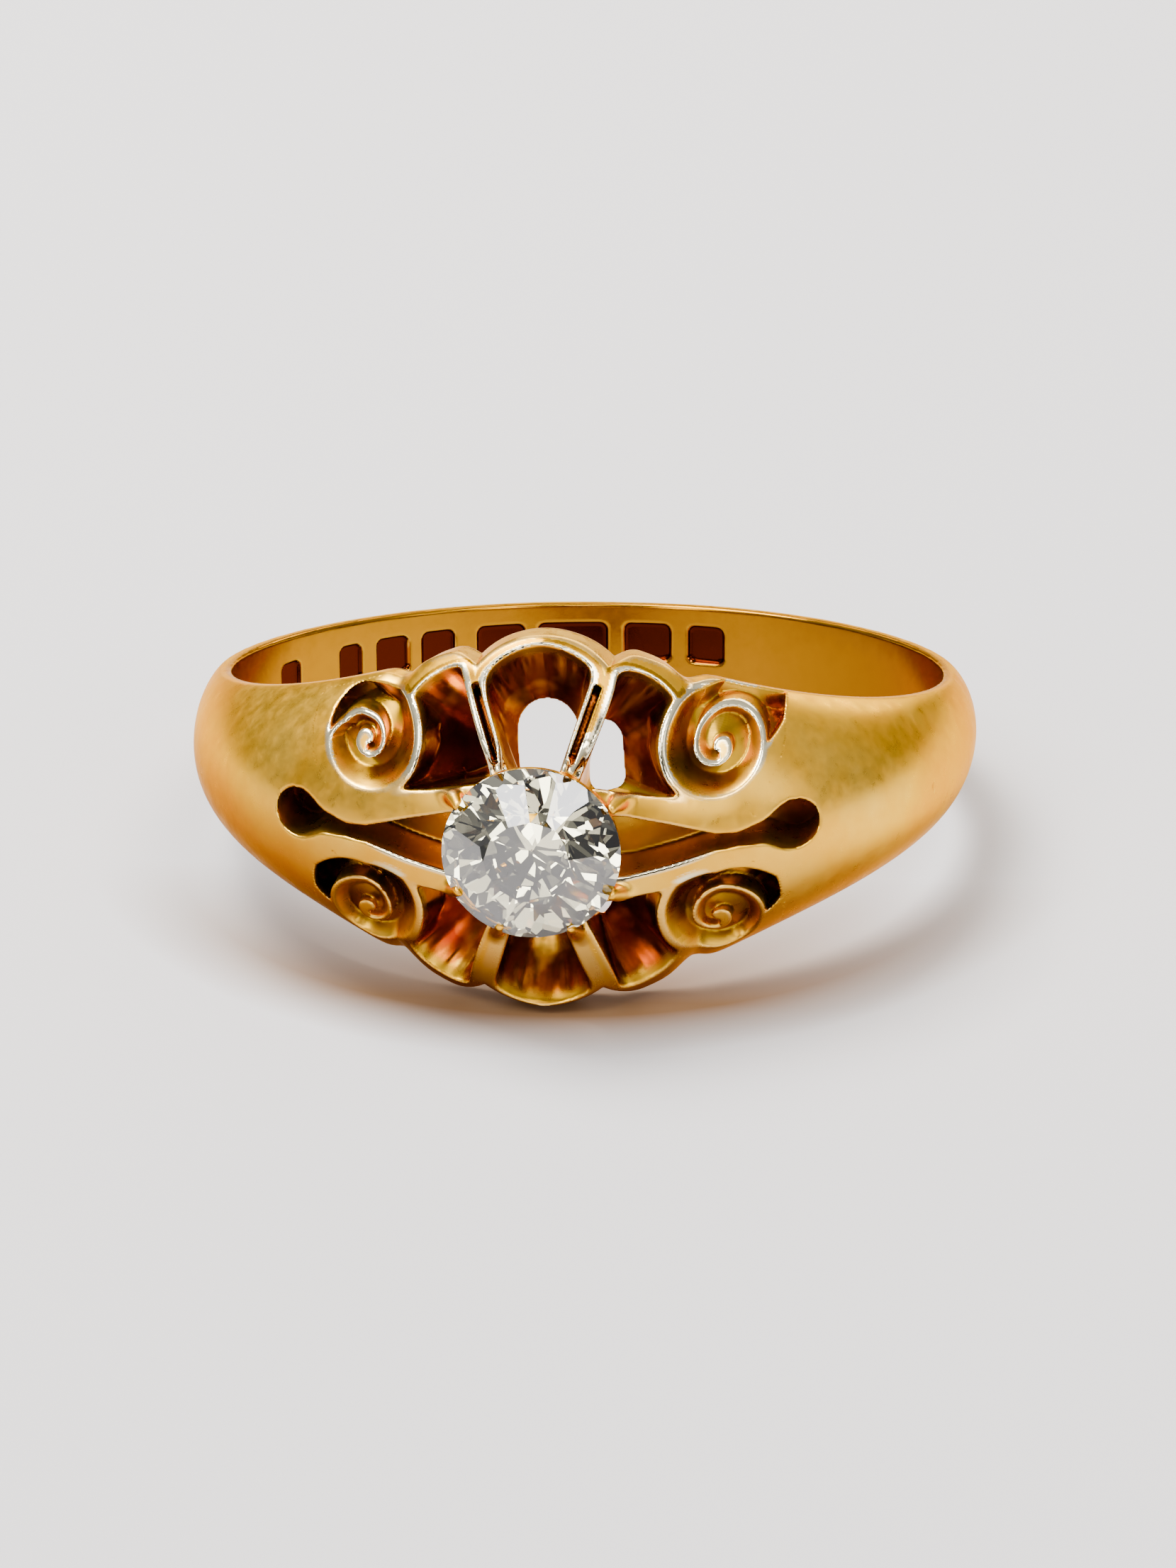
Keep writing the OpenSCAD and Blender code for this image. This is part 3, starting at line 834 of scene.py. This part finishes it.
# ----------------------------------------------------------------------- stone
GIRDLE_HALF, CROWN_HIGH, PAVILION_LOW = 0.05, 0.72, 1.61
TABLE_TURN = math.radians(9)
# facet rows: how many, shift in facets, slope in degrees, and the radius and height from the
# girdle's edge of a point on each facet
GIRDLE_POINT = (0.985 * STONE_R, 0.0)
CROWN_ROWS = [(8, 0.0, 38, GIRDLE_POINT), (16, 0.5, 43, GIRDLE_POINT),
              (16, 0.25, 33, (0.8 * STONE_R, 0.28)), (8, 0.5, 24, (1.02, CROWN_HIGH - 0.03))]
PAVILION_ROWS = [(8, 0.0, 41, GIRDLE_POINT), (16, 0.5, 42.5, GIRDLE_POINT),
                 (16, 0.25, 37, (1.0, 0.85))]
# section of the bearing: radius, and height above the girdle's middle
BEARING = [(1.68, -0.5), (1.9, -0.2), (1.96, -0.08), (2.0, -0.05), (2.03, -0.1), (2.02, -0.2),
           (1.84, -0.52)]


def cut(bm, normal, point):
    """Cuts one flat facet: everything beyond the plane goes and the hole is filled."""
    geom = bm.verts[:] + bm.edges[:] + bm.faces[:]
    res = bmesh.ops.bisect_plane(bm, geom=geom, plane_co=point, plane_no=normal,
                                 clear_outer=True, dist=1e-7)
    edges = [e for e in res["geom_cut"] if isinstance(e, bmesh.types.BMEdge)]
    if edges:
        bmesh.ops.contextual_create(bm, geom=edges)


def facet_row(bm, count, shift, slope, point, side):
    """Facets of nearly equal slope round the stone, above (side 1) or below the girdle (-1)."""
    radius, height = point
    for i in range(count):
        slip = math.sin(37.7 * i + 11.3 * count + 5.1 * shift)
        a = 2 * math.pi * (i + shift + 0.08 * slip) / count
        tilt = math.radians(slope) + 0.03 * math.sin(23.9 * i + 7.7 * count)
        n = Vector((math.cos(a) * math.sin(tilt), math.sin(a) * math.sin(tilt),
                    side * math.cos(tilt)))
        cut(bm, n, Vector((math.cos(a) * radius, math.sin(a) * radius,
                           side * (GIRDLE_HALF + height))))


def make_stone(mat):
    """Old-cut stone, cut from a cylinder as wide as its girdle."""
    bm = bmesh.new()
    bmesh.ops.create_cone(bm, cap_ends=True, segments=64, radius1=STONE_R, radius2=STONE_R,
                          depth=6.0)
    cut(bm, Vector((0, 0, 1)), Vector((0, 0, GIRDLE_HALF + CROWN_HIGH)))
    for row in CROWN_ROWS:
        facet_row(bm, *row, 1)
    for row in PAVILION_ROWS:
        facet_row(bm, *row, -1)
    cut(bm, Vector((0, 0, -1)), Vector((0, 0, -GIRDLE_HALF - PAVILION_LOW)))
    bmesh.ops.remove_doubles(bm, verts=bm.verts, dist=1e-4)
    me = bpy.data.meshes.new("diamond")
    bm.to_mesh(me)
    bm.free()
    turn = Matrix.Rotation(math.radians(90), 4, "X") @ Matrix.Rotation(TABLE_TURN, 4, "Z")
    squash = Matrix.Diagonal((1, 1, STONE_SQUASH, 1))
    shift = Matrix.Translation((STONE_SHIFT[0], -GIRDLE_Y - GIRDLE_HALF, STONE_SHIFT[1]))
    me.transform(Matrix.Scale(MM, 4) @ LAY @ shift @ squash @ turn)
    ob = bpy.data.objects.new("diamond", me)
    bpy.context.scene.collection.objects.link(ob)
    me.materials.append(mat)
    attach(ob, "root")
    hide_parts("stone")


def make_seat(mat):
    """Bearing: a thin ring that shows as a fine line round the girdle."""
    n, k = 96, len(BEARING)
    pts, quads = [], []
    for i in range(n):
        a = 2 * math.pi * i / n
        for rad, h in BEARING:
            pts.append((rad * math.cos(a) + STONE_SHIFT[0], -(GIRDLE_Y + h),
                        rad * math.sin(a) * STONE_SQUASH + STONE_SHIFT[1]))
    for i in range(n):
        for j in range(k):
            quads.append((i * k + j, i * k + (j + 1) % k,
                          (i + 1) % n * k + (j + 1) % k, (i + 1) % n * k + j))
    ob = add_mesh("bearing", np.array(pts), np.array(quads))
    ob.data.materials.append(mat)
    ob.data.set_sharp_from_angle(angle=math.radians(40))
    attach(ob, "root")
    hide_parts("seat_ring")


# --------------------------------------------------------------- floor and light
# in metres, like every place below
FLOOR_HALF, FLOOR_GAP = 0.6, 0.00002
# small bright lamps high in the room, for the sparkle of stone and rims: direction, and the
# cosine of the angle that each one covers
LAMPS = [((-0.50, -0.45, 0.74), 0.975), ((0.42, -0.30, 0.86), 0.975),
         ((-0.42, -0.82, 0.39), 0.988), ((0.54, -0.74, 0.40), 0.988),
         ((0.10, -0.66, 0.745), 0.99), ((-0.14, -0.975, 0.17), 0.992)]
LAMP_SOFT, LAMP_POWER = 0.006, 12.0
ROOM = (0.97, 0.96, 0.97, 1)


def make_floor(mat):
    floor_z = cad_box[0][2] - FLOOR_GAP
    me = bpy.data.meshes.new("floor")
    s = FLOOR_HALF
    me.from_pydata([(-s, -s, floor_z), (s, -s, floor_z), (s, s, floor_z), (-s, s, floor_z)],
                   [], [(0, 1, 2, 3)])
    ob = bpy.data.objects.new("floor", me)
    bpy.context.scene.collection.objects.link(ob)
    me.materials.append(mat)


def area_light(name, where, size, watts, tint):
    """Soft lamp that shines at the middle of the ring."""
    data = bpy.data.lights.new(name, "AREA")
    data.shape = "RECTANGLE"
    data.size, data.size_y = size
    data.energy = watts
    data.color = tint
    ob = bpy.data.objects.new(name, data)
    ob.location = where
    ob.rotation_euler = (-Vector(where)).to_track_quat("-Z", "Y").to_euler()
    bpy.context.scene.collection.objects.link(ob)


def make_world():
    """Room that brightens upwards, dark where the photographer stands, with six lamps."""
    world = bpy.data.worlds.new("world")
    world.use_nodes = True
    nt = world.node_tree
    back = nt.nodes["Background"]
    coord = nt.nodes.new("ShaderNodeTexCoord").outputs["Generated"]
    split = nt.nodes.new("ShaderNodeSeparateXYZ")
    nt.links.new(coord, split.inputs[0])
    sky = ramp_node(nt, split.outputs["Z"], 0.0, 0.9, 0.23, 0.82)
    shade = ramp_node(nt, toward(nt, coord, (0.10, -0.86, 0.50)), 0.60, 0.90, 1.0, 0.03)
    strength = math_node(nt, "MULTIPLY", sky, shade)
    for way, edge in LAMPS:
        lamp = ramp_node(nt, toward(nt, coord, way), edge, edge + LAMP_SOFT, 0.0, LAMP_POWER)
        strength = math_node(nt, "ADD", strength, lamp)
    nt.links.new(strength, back.inputs["Strength"])
    back.inputs["Color"].default_value = ROOM
    bpy.context.scene.world = world


def make_light():
    area_light("key", (-0.10, 0.06, 0.24), (0.14, 0.14), 1.6, (1.0, 0.99, 0.97))
    area_light("fill", (0.24, -0.10, 0.12), (0.10, 0.12), 0.08, (1.0, 0.98, 0.95))
    area_light("rim", (0.03, 0.26, 0.10), (0.25, 0.06), 0.30, (1.0, 0.99, 0.98))
    make_world()


gold = gold_material()
make_gold(gold)
make_seat(gold)
make_stone(stone_material())
make_floor(cloth_material())
make_light()
